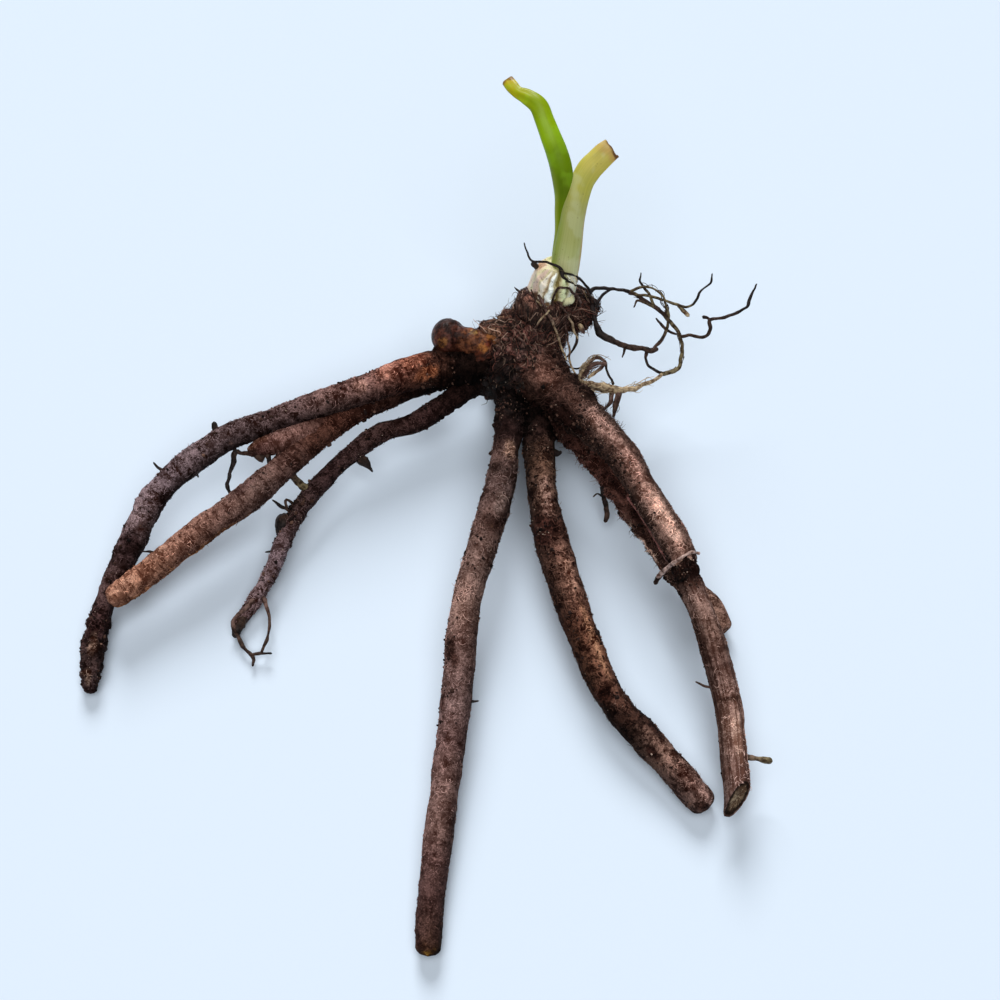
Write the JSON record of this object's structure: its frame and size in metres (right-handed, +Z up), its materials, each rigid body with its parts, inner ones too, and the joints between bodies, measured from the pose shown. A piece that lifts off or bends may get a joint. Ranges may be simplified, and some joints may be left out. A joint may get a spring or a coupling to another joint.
{
  "type": "iris rhizome",
  "caption": "Bare-root iris rhizome lying flat: a knobbly crown with long fleshy storage roots, wiry feeding roots and a short cut shoot with a green leaf.",
  "frame": {"origin": "on the table, under the centre of the whole plant's bounding box", "axes": "+Z up from the table, +Y along the shoot's lean, away from the longest root's tip, +X to the right of someone who looks along +Y"},
  "size_m": [0.1676, 0.1996, 0.0647],
  "materials": {
    "root_bark": "rough mottled brown bark with fine wrinkles",
    "wiry_root": "dry, nearly black brown",
    "shoot_base": "smooth cream flesh, slightly moist",
    "outer_leaf": "satin pale yellow-green leaf",
    "inner_leaf": "glossy bright green leaf"
  },
  "bodies": {
    "root": {"rhizome": "root_bark", "fibrous_roots": "wiry_root", "shoot_base": "shoot_base", "outer_leaf": "outer_leaf", "inner_leaf": "inner_leaf"}
  },
  "joints": []
}
